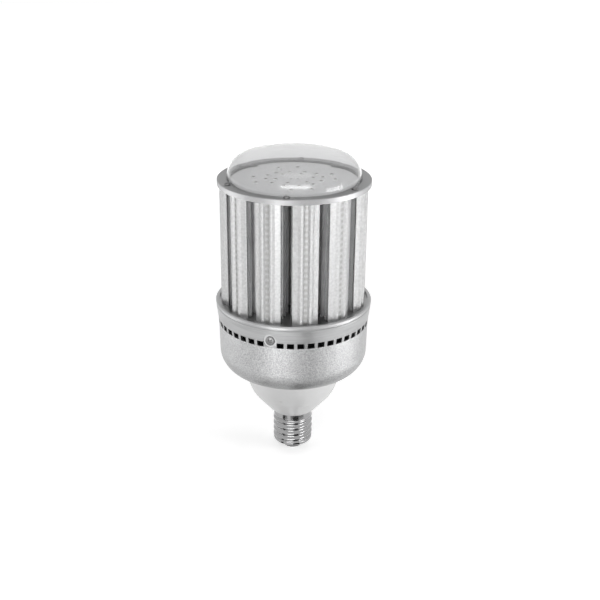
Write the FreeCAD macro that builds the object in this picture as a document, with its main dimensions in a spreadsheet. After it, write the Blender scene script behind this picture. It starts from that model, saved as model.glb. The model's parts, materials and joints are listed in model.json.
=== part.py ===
"""High-power corn LED bulb with an E40 screw base.

Frame: millimetres, +Z along the bulb's axis from the base to the dome, origin at the
tip of the centre contact. A panel is centred on +X and the others follow every 30 degrees.
Every size is one cell of the sheet, and each piece is bound to those cells.
"""
import FreeCAD
import Part
import Sketcher
import math
import os

SIZES = [
    # Screw base
    ("contact_radius", 5.0), ("contact_height", 3.2), ("contact_round", 0.8),
    ("stem_radius", 2.0), ("insulator_tip_radius", 9.5), ("insulator_height", 6.4),
    ("insulator_seat", 1.8), ("shell_radius", 19.75), ("shell_wall", 2.5), ("shell_length", 36.0),
    ("shell_lip_step", 2.75), ("shell_lip_rise", 2.6),
    # Neck
    ("stub_gap", 4.0), ("stub_wall", 3.0), ("stub_bore_lift", 2.9), ("shoulder_step", 1.05),
    ("neck_low_step", 4.1), ("neck_low_wall", 3.5), ("neck_low_height", 3.8), ("neck_inner_lift", 3.4),
    ("neck_mid_height", 16.0), ("neck_wall", 4.6), ("neck_bore_lift", 2.1), ("neck_top_height", 28.8),
    ("neck_bow", 50.0), ("spigot_inset", 13.4), ("spigot_wall", 3.6), ("neck_screw_inset", 3.6),
    ("neck_screw_edge", 5.6), ("neck_screw_depth", 12.0), ("neck_screw_count", 3.0),
    # Driver cup
    ("cup_wall", 2.3), ("cup_round", 21.0), ("cup_draft", 0.5), ("cup_height", 50.4),
    ("post_inset", 5.0), ("post_radius", 4.0), ("post_count", 3.0),
    ("lug_depth", 4.8), ("lug_drop", 10.6), ("lug_rise", 6.6), ("lug_angle", 9.0),
    # Driver
    ("board_lift", 2.8), ("board_thickness", 1.6), ("board_clearance", 3.2),
    ("board_screw_depth", 10.0),
    ("core_length", 34.0), ("core_width", 12.0), ("core_height", 26.0), ("core_leg", 5.0),
    ("core_centre_leg", 10.0), ("core_yoke", 5.0), ("core_offset", 22.0), ("winding_width", 20.0),
    ("capacitor_radius", 9.0), ("capacitor_height", 27.0), ("capacitor_side", 12.0),
    ("capacitor_inset", 16.0), ("choke_radius", 8.5), ("choke_height", 16.0), ("choke_offset", 30.0),
    ("rectifier_length", 15.0), ("rectifier_width", 4.6), ("rectifier_height", 11.0),
    ("rectifier_inset", 4.5), ("liner_inset", 6.0), ("liner_wall", 1.0),
    ("wire_radius", 0.9), ("wire_bend", 2.4), ("neutral_inset", 1.25), ("neutral_rise", 2.0),
    ("output_offset", 3.2), ("feed_radius", 0.5), ("feed_gap", 1.5),
    # Vent collar
    ("rim_radius", 75.0), ("rim_step", 0.2), ("rim_wall", 3.6), ("rim_lip", 1.9), ("rim_bevel", 1.0),
    ("collar_taper", 2.5), ("collar_wall", 1.7), ("collar_rise", 18.4),
    ("groove_depth", 0.6), ("groove_width", 0.6), ("deck_lift", 2.7), ("deck_thickness", 2.4),
    ("deck_hole_radius", 10.0), ("vent_count", 48.0), ("vent_width", 6.6), ("vent_height", 5.5),
    ("vent_turn", 3.75), ("tab_angle", 6.6), ("dimple_radius", 6.6), ("dimple_web", 1.3),
    ("collar_screw_rise", 6.8), ("collar_screw_count", 3.0), ("screw_shank_radius", 2.0),
    ("screw_head_radius", 4.4), ("screw_head_height", 1.7),
    # Heat sink
    ("panel_count", 12.0), ("panel_depth", 10.4), ("sink_length", 114.6), ("core_bore_radius", 15.0),
    ("core_wall", 4.0), ("web_thickness", 3.4), ("fin_thickness", 1.6), ("fin_one_depth", 26.0),
    ("fin_one_reach", 8.2), ("fin_two_depth", 17.8), ("fin_two_reach", 8.6),
    ("fin_three_depth", 10.4), ("fin_three_reach", 9.2),
    ("head_thickness", 3.0), ("head_half_width", 10.6), ("port_count", 3.0),
    ("port_inset", 2.0), ("port_radius", 1.5), ("port_depth", 12.0), ("port_turn", 15.0),
    ("port_head_radius", 2.8), ("port_head_height", 1.6),
    # Strips and covers
    ("strip_thickness", 1.6), ("strip_inset", 0.2), ("emitter_length", 3.0), ("emitter_width", 3.6),
    ("emitter_height", 1.0), ("emitter_clearance", 0.4), ("emitter_count", 20.0),
    ("emitter_start", 5.3), ("emitter_end", 1.8), ("cover_skirt", 1.5), ("cover_wall", 1.3),
    ("cover_edge_wall", 0.8), ("cover_slope", 2.1), ("ridge_inner", 2.8), ("ridge_width", 3.0),
    ("ridge_flare", 1.5), ("ridge_rise", 1.8), ("ridge_ease", 0.4), ("valley_flare", 1.1),
    ("valley_drop", 0.1),
    # Top
    ("plate_thickness", 2.4), ("plate_inset", 1.6), ("plate_hole_radius", 6.0),
    ("light_board_gap", 2.2), ("light_board_thickness", 1.6),
    ("light_size", 3.6), ("light_height", 1.0), ("light_inner", 17.6), ("light_mid", 26.5),
    ("light_outer", 38.0), ("light_outer_turn", 14.0), ("light_inner_count", 6.0),
    ("light_outer_count", 4.0),
    ("dome_inset", 7.3), ("dome_wall", 1.8), ("flange_inset", 1.0), ("dome_flange", 1.5),
    ("dome_lift", 1.2), ("dome_shoulder", 20.0), ("dome_rise", 25.8),
    ("ring_wall", 1.7), ("ring_skirt_gap", 0.4), ("ring_web", 1.6), ("ring_bevel", 0.6),
    ("ring_screw_inset", 3.5), ("ring_screw_count", 6.0), ("ring_shank_radius", 1.6),
    ("ring_head_radius", 3.0), ("ring_head_height", 1.8), ("ring_screw_rise", 0.2),
    # Fits
    ("running_fit", 0.1), ("clearance_fit", 0.2),
]

doc = FreeCAD.newDocument("corn_led_bulb")
sheet = doc.addObject("Spreadsheet::Sheet", "sizes")


class Dim:
    """A length as a number with the sheet formula that gives it."""

    def __init__(self, text, value):
        self.text = text
        self.value = value

    def joined(self, sign, other, value):
        return Dim("(%s %s %s)" % (self.text, sign, formula(other)), value)

    def __add__(self, other):
        return self.joined("+", other, self.value + number(other))

    def __sub__(self, other):
        return self.joined("-", other, self.value - number(other))

    def __mul__(self, other):
        return self.joined("*", other, self.value * number(other))

    def __truediv__(self, other):
        return self.joined("/", other, self.value / number(other))

    def __neg__(self):
        return Dim("(-1 * %s)" % self.text, -self.value)

    def cos(self):
        return Dim("cos(%s * 1deg)" % self.text, math.cos(math.radians(self.value)))

    def sin(self):
        return Dim("sin(%s * 1deg)" % self.text, math.sin(math.radians(self.value)))


def number(item):
    """The plain number of a Dim or of a number."""
    return item.value if isinstance(item, Dim) else item


def formula(item):
    """The sheet formula of a Dim or of a number."""
    return item.text if isinstance(item, Dim) else repr(item)


class Sheet:
    """The sheet's cells by name."""


S = Sheet()
for row, (alias, value) in enumerate(SIZES, start=1):
    sheet.set("A%d" % row, alias)
    sheet.set("B%d" % row, str(value))
    sheet.setAlias("B%d" % row, alias)
    setattr(S, alias, Dim("sizes.%s" % alias, value))
doc.recompute()

pieces = []


def new_body(label, turn=None):
    """A new body that becomes one file, turned about the bulb's axis by a Dim in degrees."""
    body = doc.addObject("PartDesign::Body", label)
    body.Label = label
    body.AllowCompound = True
    if turn is not None:
        body.Placement = FreeCAD.Placement(
            FreeCAD.Vector(), FreeCAD.Rotation(FreeCAD.Vector(0, 0, 1), turn.value))
        body.setExpression("Placement.Rotation.Angle", turn.text)
    pieces.append(body)
    return body


def origin_feature(body, role):
    """One of the body's own planes or axes by its role."""
    return [item for item in body.Origin.OriginFeatures if item.Role == role][0]


def new_sketch(body, name, role, offset):
    """A sketch on one of the body's planes, moved along its normal by a Dim."""
    sketch = body.newObject("Sketcher::SketchObject", body.Name + "_" + name)
    sketch.AttachmentSupport = (origin_feature(body, role), [""])
    sketch.MapMode = "FlatFace"
    if offset is not None:
        sketch.AttachmentOffset = FreeCAD.Placement(
            FreeCAD.Vector(0, 0, offset.value), FreeCAD.Rotation())
        sketch.setExpression("AttachmentOffset.Base.z", offset.text)
    return sketch


def place_point(rules, formulas, geometry, point, across, upward):
    """Ties one point of a sketch to the origin by two sheet formulas."""
    for kind, axis, item in (("DistanceX", -2, across), ("DistanceY", -1, upward)):
        if number(item) == 0:
            rules.append(Sketcher.Constraint("PointOnObject", geometry, point, axis))
            continue
        formulas.append((len(rules), formula(item)))
        rules.append(Sketcher.Constraint(kind, -1, 1, geometry, point, number(item)))


def add_rules(sketch, rules, formulas):
    """Adds the constraints at once and binds the sized ones."""
    sketch.addConstraint(rules)
    for index, text in formulas:
        sketch.setExpression("Constraints[%d]" % index, text)


def arc_between(here, there, radius, side):
    """The shorter arc between two corners, with its centre left (+1) or right (-1) of the way."""
    dx = there[0] - here[0]
    dy = there[1] - here[1]
    chord = math.hypot(dx, dy)
    rise = math.sqrt(max(radius * radius - chord * chord / 4, 0.0))
    cx = (here[0] + there[0]) / 2 - side * rise * dy / chord
    cy = (here[1] + there[1]) / 2 + side * rise * dx / chord
    first = math.atan2(here[1] - cy, here[0] - cx)
    last = math.atan2(there[1] - cy, there[0] - cx)
    if side < 0:
        first, last = last, first
    circle = Part.Circle(FreeCAD.Vector(cx, cy, 0), FreeCAD.Vector(0, 0, 1), radius)
    return Part.ArcOfCircle(circle, first, last)


def outline(body, name, role, corners, offset=None, closed=True):
    """A sketch through corners (across, upward); a third and fourth entry (radius, side)
    make the way from that corner to the next an arc."""
    sketch = new_sketch(body, name, role, offset)
    spots = [(number(corner[0]), number(corner[1])) for corner in corners]
    steps = len(corners) if closed else len(corners) - 1
    starts = []
    ends = []
    rules = []
    formulas = []
    shapes = []
    for index in range(steps):
        corner = corners[index]
        here = spots[index]
        there = spots[(index + 1) % len(corners)]
        if len(corner) == 4:
            shapes.append(arc_between(here, there, number(corner[2]), corner[3]))
            formulas.append((len(rules), formula(corner[2])))
            rules.append(Sketcher.Constraint("Radius", index, number(corner[2])))
        else:
            shapes.append(Part.LineSegment(
                FreeCAD.Vector(here[0], here[1], 0), FreeCAD.Vector(there[0], there[1], 0)))
        backward = len(corner) == 4 and corner[3] < 0
        starts.append(2 if backward else 1)
        ends.append(1 if backward else 2)
    sketch.addGeometry(shapes, False)
    for index in range(steps):
        place_point(rules, formulas, index, starts[index], corners[index][0], corners[index][1])
    if not closed:
        place_point(rules, formulas, steps - 1, ends[-1], corners[-1][0], corners[-1][1])
    for index in range(steps if closed else steps - 1):
        after = (index + 1) % steps
        rules.append(Sketcher.Constraint("Coincident", index, ends[index], after, starts[after]))
    add_rules(sketch, rules, formulas)
    return sketch


def discs(body, name, role, offset, rounds):
    """A sketch of circles given as (across, upward, radius)."""
    sketch = new_sketch(body, name, role, offset)
    rules = []
    formulas = []
    for index, (across, upward, radius) in enumerate(rounds):
        centre = FreeCAD.Vector(number(across), number(upward), 0)
        sketch.addGeometry(Part.Circle(centre, FreeCAD.Vector(0, 0, 1), number(radius)), False)
        formulas.append((len(rules), formula(radius)))
        rules.append(Sketcher.Constraint("Radius", index, number(radius)))
        place_point(rules, formulas, index, 3, across, upward)
    add_rules(sketch, rules, formulas)
    return sketch


def rectangle(left, bottom, right, top):
    """Four corners of a rectangle."""
    return [(left, bottom), (right, bottom), (right, top), (left, top)]


def turned(body, name, corners, angle=None):
    """Turns a radial profile about the bulb's axis, whole or as a sector of a Dim in degrees."""
    sketch = outline(body, name + "_profile", "XZ_Plane", corners)
    turn = body.newObject("PartDesign::Revolution", body.Name + "_" + name)
    turn.Profile = sketch
    turn.ReferenceAxis = (sketch, ["V_Axis"])
    turn.Angle = 360
    if angle is not None:
        turn.Midplane = True
        turn.setExpression("Angle", angle.text)
    return turn


def raised(body, name, sketch, length):
    """Pads a sketch along its normal."""
    pad = body.newObject("PartDesign::Pad", body.Name + "_" + name)
    pad.Profile = sketch
    pad.setExpression("Length", length.text)
    return pad


def sunk(body, name, sketch, length):
    """Pockets a sketch against its normal."""
    pocket = body.newObject("PartDesign::Pocket", body.Name + "_" + name)
    pocket.Profile = sketch
    pocket.setExpression("Length", length.text)
    return pocket


def repeated(body, name, features, count):
    """Repeats features about the bulb's axis."""
    pattern = body.newObject("PartDesign::PolarPattern", body.Name + "_" + name)
    pattern.Originals = features
    pattern.Axis = (origin_feature(body, "Z_Axis"), [""])
    pattern.Angle = 360
    body.Tip = pattern
    pattern.setExpression("Occurrences", count.text)
    return pattern


full = Dim("360", 360.0)
panel_turn = full / S.panel_count
post_turn = full / (S.post_count * 2)

# Heights, from the contact's tip to the dome
shell_bottom = S.contact_height + S.insulator_height
insulator_top = shell_bottom + S.shell_lip_rise + S.insulator_seat
shell_top = shell_bottom + S.shell_length
stub_bottom = insulator_top + S.stub_gap
neutral_height = insulator_top + S.neutral_rise
stub_bore_top = shell_top + S.stub_bore_lift
neck_low = shell_top + S.neck_low_height
neck_inner = neck_low + S.neck_inner_lift
neck_mid = neck_low + S.neck_mid_height
neck_bore = neck_mid + S.neck_bore_lift
cup_bottom = neck_mid + S.neck_top_height
cup_floor = cup_bottom + S.cup_wall
bend_height = cup_bottom + S.cup_round
board_bottom = bend_height + S.board_lift
board_top = board_bottom + S.board_thickness
cup_rim = cup_bottom + S.cup_height
collar_screw_height = cup_rim + S.collar_screw_rise
lug_bottom = cup_rim - S.lug_drop
lug_top = collar_screw_height + S.lug_rise
collar_high = cup_rim + S.collar_rise
deck = collar_high + S.deck_lift
deck_under = deck - S.deck_thickness
rim_top = deck + S.rim_lip
panel_height = S.sink_length
sink_top = deck + panel_height
emitter_first = deck + S.emitter_start
emitter_run = panel_height - S.emitter_start - S.emitter_length - S.emitter_end
feed_top = emitter_first - S.feed_gap
plate_top = sink_top + S.plate_thickness
light_top = plate_top + S.light_board_thickness
flange_top = plate_top + S.dome_flange
ring_top = flange_top + S.ring_web
ring_skirt = sink_top + S.ring_skirt_gap
dome_spring = ring_top + S.dome_lift
dome_crown = dome_spring + S.dome_rise

# Radii of the screw base
shell_bore = S.shell_radius - S.shell_wall
shell_lip_radius = S.shell_radius - S.shell_lip_step
stub_bore = shell_bore - S.stub_wall
neutral_offset = stub_bore - S.neutral_inset
shoulder_radius = S.shell_radius + S.shoulder_step
neck_low_radius = shoulder_radius + S.neck_low_step
neck_inner_radius = neck_low_radius - S.neck_low_wall

# Radii of the collar, cup and neck, from the rim inward
collar_high_radius = S.rim_radius - S.rim_step
rim_bore_radius = S.rim_radius - S.rim_wall
cup_rim_radius = S.rim_radius - S.collar_taper
collar_bore_radius = cup_rim_radius - S.collar_wall
dimple_floor = collar_bore_radius + S.dimple_web
cup_side_radius = cup_rim_radius - S.cup_draft
cup_flat_radius = cup_side_radius - S.cup_round
post_circle = cup_flat_radius - S.post_inset
spigot_radius = cup_flat_radius - S.spigot_inset
neck_screw_circle = spigot_radius + S.neck_screw_inset
neck_top_radius = neck_screw_circle + S.neck_screw_edge
neck_bore_radius = spigot_radius - S.spigot_wall
neck_mid_radius = neck_bore_radius + S.neck_wall
board_radius = cup_side_radius - S.cup_wall - S.board_clearance
liner_radius = board_radius - S.liner_inset
rectifier_offset = liner_radius - S.liner_wall - S.rectifier_inset
capacitor_offset = post_circle - S.capacitor_inset

# Distances of the panels from the axis, and widths across them
head_face = rim_bore_radius - S.panel_depth
fin_one = head_face - S.fin_one_depth
fin_two = head_face - S.fin_two_depth
fin_three = head_face - S.fin_three_depth
core_radius = S.core_bore_radius + S.core_wall
port_circle = S.core_bore_radius + S.port_inset
strip_face = head_face + S.strip_thickness
strip_half_width = S.head_half_width - S.strip_inset
feed_circle = strip_face + S.feed_radius
cover_foot = head_face - S.cover_skirt
cover_inside = strip_face + S.emitter_height + S.emitter_clearance
cover_edge = cover_inside + S.cover_edge_wall
cover_brow = cover_edge + S.cover_slope
crest = cover_brow + S.ridge_rise
valley = cover_brow - S.valley_drop
cover_bore = S.head_half_width + S.running_fit
cover_half_width = cover_bore + S.cover_wall
ridge_outer = S.ridge_inner + S.ridge_width
ridge_foot = ridge_outer + S.ridge_flare
ridge_round = S.ridge_width / 2 + S.ridge_ease
valley_half_width = S.ridge_inner - S.valley_flare

# Radii of the top
plate_radius = rim_bore_radius - S.plate_inset
dome_radius = plate_radius - S.dome_inset
dome_bore = dome_radius - S.dome_wall
dome_flange_radius = plate_radius - S.flange_inset
light_board_radius = dome_bore - S.light_board_gap
ring_bore = plate_radius + S.running_fit
ring_radius = ring_bore + S.ring_wall
ring_screw_circle = dome_radius + S.ring_screw_inset


# Screw base: centre contact, black insulator and the metal shell

body = new_body("centre_contact")
turned(body, "button", [
    (0, 0), (S.contact_radius - S.contact_round, 0), (S.contact_radius, S.contact_round),
    (S.contact_radius, S.contact_height), (S.stem_radius, S.contact_height),
    (S.stem_radius, insulator_top), (0, insulator_top)])

body = new_body("base_insulator")
turned(body, "cone", [
    (S.stem_radius, S.contact_height), (S.insulator_tip_radius, S.contact_height),
    (shell_lip_radius - S.shell_wall, shell_bottom),
    (shell_bore, shell_bottom + S.shell_lip_rise),
    (shell_bore, insulator_top), (S.stem_radius, insulator_top)])

body = new_body("screw_shell")
turned(body, "shell", [
    (shell_lip_radius - S.shell_wall, shell_bottom), (shell_lip_radius, shell_bottom),
    (S.shell_radius, shell_bottom + S.shell_lip_rise), (S.shell_radius, shell_top),
    (shell_bore, shell_top), (shell_bore, shell_bottom + S.shell_lip_rise)])

# Neck: a plastic bowl with a stub in the shell and a spigot in the cup

body = new_body("neck_cone")
turned(body, "bowl", [
    (stub_bore, stub_bottom), (shell_bore, stub_bottom), (shell_bore, shell_top),
    (shoulder_radius, shell_top), (neck_low_radius, neck_low),
    (neck_mid_radius, neck_mid, S.neck_bow, 1), (neck_top_radius, cup_bottom),
    (spigot_radius, cup_bottom), (spigot_radius, cup_floor),
    (neck_bore_radius, cup_floor), (neck_bore_radius, neck_bore),
    (neck_inner_radius, neck_inner), (stub_bore, stub_bore_top)])
hole = sunk(body, "screw_hole", discs(body, "screw_hole_circle", "XY_Plane", cup_bottom, [
    (neck_screw_circle, 0, S.screw_shank_radius)]), S.neck_screw_depth)
repeated(body, "screw_holes", [hole], S.neck_screw_count)

body = new_body("neck_screws")
head = raised(body, "head", discs(body, "head_circle", "XY_Plane", cup_floor, [
    (neck_screw_circle, 0, S.ring_head_radius)]), S.screw_head_height)
shank = raised(body, "shank", discs(
    body, "shank_circle", "XY_Plane", cup_bottom - S.neck_screw_depth + S.clearance_fit, [
        (neck_screw_circle, 0, S.screw_shank_radius)]),
    S.neck_screw_depth + S.cup_wall - S.clearance_fit)
repeated(body, "all", [head, shank], S.neck_screw_count)

# Driver cup: a spun cup with a large corner round, posts for the board and lugs for the collar

body = new_body("driver_cup", S.vent_turn)
cup_inner_rim = cup_rim_radius - S.cup_wall
turned(body, "cup", [
    (spigot_radius, cup_bottom), (cup_flat_radius, cup_bottom, S.cup_round, 1),
    (cup_side_radius, bend_height), (cup_rim_radius, cup_rim), (cup_inner_rim, cup_rim),
    (cup_side_radius - S.cup_wall, bend_height, S.cup_round - S.cup_wall, -1),
    (cup_flat_radius, cup_floor), (spigot_radius, cup_floor)])
lug = turned(body, "lug", rectangle(
    collar_bore_radius - S.lug_depth, lug_bottom, collar_bore_radius, lug_top), S.lug_angle)
repeated(body, "lugs", [lug], S.collar_screw_count)
post = raised(body, "post", discs(body, "post_circle", "XY_Plane", cup_floor, [
    (post_circle * post_turn.cos(), post_circle * post_turn.sin(), S.post_radius)]),
    board_bottom - cup_floor)
repeated(body, "posts", [post], S.post_count)
post_hole = sunk(body, "post_hole", discs(body, "post_hole_circle", "XY_Plane", board_bottom, [
    (post_circle * post_turn.cos(), post_circle * post_turn.sin(), S.port_radius)]),
    S.board_screw_depth)
repeated(body, "post_holes", [post_hole], S.post_count)
neck_angle = -S.vent_turn
neck_hole = sunk(body, "neck_hole", discs(body, "neck_hole_circle", "XY_Plane", cup_floor, [
    (neck_screw_circle * neck_angle.cos(), neck_screw_circle * neck_angle.sin(),
     S.screw_shank_radius)]), S.cup_wall)
repeated(body, "neck_holes", [neck_hole], S.neck_screw_count)
lug_hole = sunk(body, "lug_hole", discs(body, "lug_hole_circle", "YZ_Plane", collar_bore_radius, [
    (0, collar_screw_height, S.screw_shank_radius)]), S.lug_depth)
repeated(body, "lug_holes", [lug_hole], S.collar_screw_count)

# Driver: board, transformer, capacitors, choke, rectifier, insulating liner and leads

post_angle = S.vent_turn + post_turn
body = new_body("driver_board")
raised(body, "disc", discs(body, "disc_circle", "XY_Plane", board_bottom, [
    (0, 0, board_radius)]), S.board_thickness)
board_hole = sunk(body, "hole", discs(body, "hole_circle", "XY_Plane", board_top, [
    (post_circle * post_angle.cos(), post_circle * post_angle.sin(), S.port_radius)]),
    S.board_thickness)
repeated(body, "holes", [board_hole], S.post_count)

body = new_body("board_screws", post_angle)
head = raised(body, "head", discs(body, "head_circle", "XY_Plane", board_top, [
    (post_circle, 0, S.port_head_radius)]), S.port_head_height)
shank = raised(body, "shank", discs(
    body, "shank_circle", "XY_Plane", board_bottom - S.board_screw_depth + S.clearance_fit, [
        (post_circle, 0, S.port_radius)]),
    S.board_screw_depth + S.board_thickness - S.clearance_fit)
repeated(body, "all", [head, shank], S.post_count)

core_half = S.core_length / 2
leg_half = S.core_centre_leg / 2
window_low = board_top + S.core_yoke
window_high = board_top + S.core_height - S.core_yoke
core_back = S.core_offset - S.core_width / 2
core_front = S.core_offset + S.core_width / 2
body = new_body("transformer_core")
raised(body, "block", outline(body, "block_outline", "XY_Plane", rectangle(
    -core_half, core_back, core_half, core_front), board_top), S.core_height)
for side in (-1, 1):
    near = leg_half * side
    far = (core_half - S.core_leg) * side
    sunk(body, "window_left" if side < 0 else "window_right", outline(
        body, "window_left_outline" if side < 0 else "window_right_outline", "XZ_Plane",
        rectangle(near, window_low, far, window_high) if side > 0 else
        rectangle(far, window_low, near, window_high), -core_back), S.core_width)

winding_half = core_half - S.core_leg - S.running_fit
body = new_body("transformer_winding")
raised(body, "coil", outline(body, "coil_outline", "XY_Plane", rectangle(
    -winding_half, S.core_offset - S.winding_width / 2,
    winding_half, S.core_offset + S.winding_width / 2), window_low),
    S.core_height - S.core_yoke * 2)
sunk(body, "bore", outline(body, "bore_outline", "XY_Plane", rectangle(
    -leg_half, core_back, leg_half, core_front), window_high), S.core_height - S.core_yoke * 2)

body = new_body("bulk_capacitors")
raised(body, "cans", discs(body, "cans_circles", "XY_Plane", board_top, [
    (-S.capacitor_side, -capacitor_offset, S.capacitor_radius),
    (S.capacitor_side, -capacitor_offset, S.capacitor_radius)]), S.capacitor_height)

body = new_body("line_choke")
raised(body, "coil", discs(body, "coil_circle", "XY_Plane", board_top, [
    (S.choke_offset, 0, S.choke_radius)]), S.choke_height)

body = new_body("rectifier")
raised(body, "block", outline(body, "block_outline", "XY_Plane", rectangle(
    -rectifier_offset - S.rectifier_width / 2, -S.rectifier_length / 2,
    -rectifier_offset + S.rectifier_width / 2, S.rectifier_length / 2), board_top),
    S.rectifier_height)

body = new_body("driver_liner")
raised(body, "tube", discs(body, "tube_circles", "XY_Plane", board_top, [
    (0, 0, liner_radius), (0, 0, liner_radius - S.liner_wall)]),
    deck_under - board_top - S.running_fit)

body = new_body("live_lead")
raised(body, "wire", discs(body, "wire_circle", "XY_Plane", insulator_top, [
    (0, 0, S.wire_radius)]), board_bottom - insulator_top)

body = new_body("neutral_lead")
lead_start = shell_bore - S.running_fit
spine = outline(body, "route", "XZ_Plane", [
    (lead_start, neutral_height),
    (neutral_offset + S.wire_bend, neutral_height, S.wire_bend, -1),
    (neutral_offset, neutral_height + S.wire_bend),
    (neutral_offset, board_bottom)], closed=False)
section = discs(body, "wire_circle", "YZ_Plane", lead_start, [(0, neutral_height, S.wire_radius)])
wire = body.newObject("PartDesign::AdditivePipe", "neutral_lead_wire")
wire.Profile = section
wire.Spine = (spine, ["Edge1", "Edge2", "Edge3"])

body = new_body("output_leads")
raised(body, "wires", discs(body, "wire_circles", "XY_Plane", board_top, [
    (S.output_offset, 0, S.wire_radius), (-S.output_offset, 0, S.wire_radius)]),
    light_top - board_top)

body = new_body("feed_leads")
wire = raised(body, "wire", discs(body, "wire_circle", "XY_Plane", board_top, [
    (feed_circle, 0, S.feed_radius)]), feed_top - board_top)
repeated(body, "wires", [wire], S.panel_count)

# Vent collar: a castellated ring whose bars stand on the cup's rim, with the deck inside

body = new_body("vent_collar", S.vent_turn)
groove_radius = collar_high_radius - S.groove_depth
groove_low = collar_high + S.groove_depth
groove_high = groove_low + S.groove_width
turned(body, "ring", [
    (S.deck_hole_radius, deck_under), (collar_bore_radius, deck_under),
    (collar_bore_radius, cup_rim), (cup_rim_radius, cup_rim),
    (collar_high_radius, collar_high), (groove_radius, groove_low), (groove_radius, groove_high),
    (S.rim_radius, groove_high + S.groove_depth), (S.rim_radius, rim_top - S.rim_bevel),
    (S.rim_radius - S.rim_bevel, rim_top), (rim_bore_radius, rim_top),
    (rim_bore_radius, deck), (S.deck_hole_radius, deck)])
vent = sunk(body, "vent", outline(body, "vent_outline", "XY_Plane", rectangle(
    collar_bore_radius - S.cup_wall, -S.vent_width / 2,
    S.rim_radius + S.cup_wall, S.vent_width / 2), cup_rim + S.vent_height), S.vent_height)
repeated(body, "vents", [vent], S.vent_count)
collar_slope = (collar_high_radius - cup_rim_radius) / (collar_high - cup_rim)
tab = turned(body, "tab", [
    (collar_bore_radius, cup_rim), (cup_rim_radius, cup_rim),
    (cup_rim_radius + collar_slope * S.vent_height, cup_rim + S.vent_height),
    (collar_bore_radius, cup_rim + S.vent_height)], S.tab_angle)
repeated(body, "tabs", [tab], S.collar_screw_count)
dimple = sunk(body, "dimple", discs(body, "dimple_circle", "YZ_Plane", S.rim_radius, [
    (0, collar_screw_height, S.dimple_radius)]), S.rim_radius - dimple_floor)
repeated(body, "dimples", [dimple], S.collar_screw_count)
screw_hole = sunk(body, "screw_hole", discs(body, "screw_hole_circle", "YZ_Plane", S.rim_radius, [
    (0, collar_screw_height, S.screw_shank_radius)]), S.rim_radius - collar_bore_radius + S.cup_wall)
repeated(body, "screw_holes", [screw_hole], S.collar_screw_count)
feed_angle = -S.vent_turn
feed_hole = sunk(body, "feed_hole", discs(body, "feed_hole_circle", "XY_Plane", deck, [
    (feed_circle * feed_angle.cos(), feed_circle * feed_angle.sin(),
     S.feed_radius + S.clearance_fit)]), S.deck_thickness)
repeated(body, "feed_holes", [feed_hole], S.panel_count)
deck_angle = S.port_turn - S.vent_turn
port_hole = sunk(body, "port_hole", discs(body, "port_hole_circle", "XY_Plane", deck, [
    (port_circle * deck_angle.cos(), port_circle * deck_angle.sin(), S.port_radius)]),
    S.deck_thickness)
repeated(body, "port_holes", [port_hole], S.port_count)

body = new_body("collar_screws", S.vent_turn)
head = raised(body, "head", discs(body, "head_circle", "YZ_Plane", dimple_floor, [
    (0, collar_screw_height, S.screw_head_radius)]), S.screw_head_height)
shank = raised(body, "shank", discs(
    body, "shank_circle", "YZ_Plane", collar_bore_radius - S.lug_depth, [
        (0, collar_screw_height, S.screw_shank_radius)]),
    dimple_floor - collar_bore_radius + S.lug_depth)
repeated(body, "all", [head, shank], S.collar_screw_count)

# Heat sink: a tube with twelve tree-shaped arms, each ending in a flat head for a strip

body = new_body("heat_sink")
raised(body, "tube", discs(body, "tube_circles", "XY_Plane", deck, [
    (0, 0, core_radius), (0, 0, S.core_bore_radius)]), panel_height)
web = S.web_thickness / 2
half = [(S.core_bore_radius + S.cup_wall, web)]
for start, reach in ((fin_one, S.fin_one_reach), (fin_two, S.fin_two_reach),
                     (fin_three, S.fin_three_reach)):
    half += [(start, web), (start, reach), (start + S.fin_thickness, reach),
             (start + S.fin_thickness, web)]
head_back = head_face - S.head_thickness
half += [(head_back, web), (head_back, S.head_half_width), (head_face, S.head_half_width)]
lower = [(across, -upward) for across, upward in half]
arm = raised(body, "arm", outline(
    body, "arm_outline", "XY_Plane", lower + half[::-1], deck), panel_height)
repeated(body, "arms", [arm], S.panel_count)
port_x = port_circle * S.port_turn.cos()
port_y = port_circle * S.port_turn.sin()
port_low = sunk(body, "port_low", discs(body, "port_low_circle", "XY_Plane", deck + S.port_depth, [
    (port_x, port_y, S.port_radius)]), S.port_depth)
repeated(body, "ports_low", [port_low], S.port_count)
port_high = sunk(body, "port_high", discs(body, "port_high_circle", "XY_Plane", sink_top, [
    (port_x, port_y, S.port_radius)]), S.port_depth)
repeated(body, "ports_high", [port_high], S.port_count)

body = new_body("sink_screws", S.port_turn)
head = raised(body, "head", discs(
    body, "head_circle", "XY_Plane", deck_under - S.port_head_height, [
        (port_circle, 0, S.port_head_radius)]), S.port_head_height)
shank = raised(body, "shank", discs(body, "shank_circle", "XY_Plane", deck_under, [
    (port_circle, 0, S.port_radius)]), S.deck_thickness + S.port_depth - S.clearance_fit)
repeated(body, "all", [head, shank], S.port_count)

# Panels: a strip board, its cover with two lens ridges, and all the strip emitters

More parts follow.
